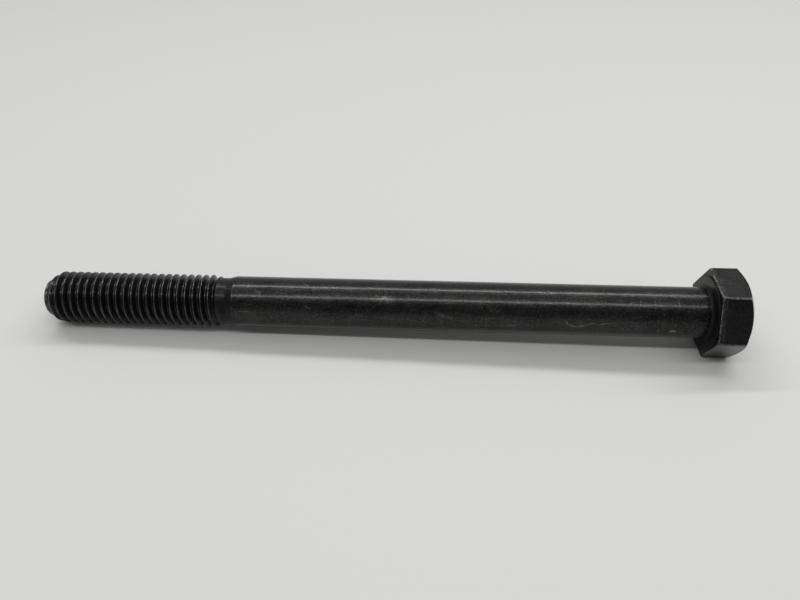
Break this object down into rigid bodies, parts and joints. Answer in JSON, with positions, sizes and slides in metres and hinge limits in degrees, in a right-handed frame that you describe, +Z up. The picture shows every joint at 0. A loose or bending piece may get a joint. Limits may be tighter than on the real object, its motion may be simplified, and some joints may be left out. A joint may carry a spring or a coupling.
{
  "type": "hex bolt",
  "caption": "Long black steel hexagon-head bolt with a plain shank and a right-hand part thread, lying at rest on a flat of its head.",
  "frame": {"origin": "middle of the bolt's footprint, on the surface it lies on", "axes": "+X along the bolt towards its head, tip at -X, +Y across it, +Z up; the bolt's own axis is about 1.2 degrees off X because the head is wider than the thread"},
  "size_m": [0.158, 0.0208, 0.0181],
  "materials": {
    "black_oxide_steel": "black oxide, semi-gloss, lightly oiled"
  },
  "bodies": {
    "root": {"bolt": "black_oxide_steel"}
  },
  "joints": []
}
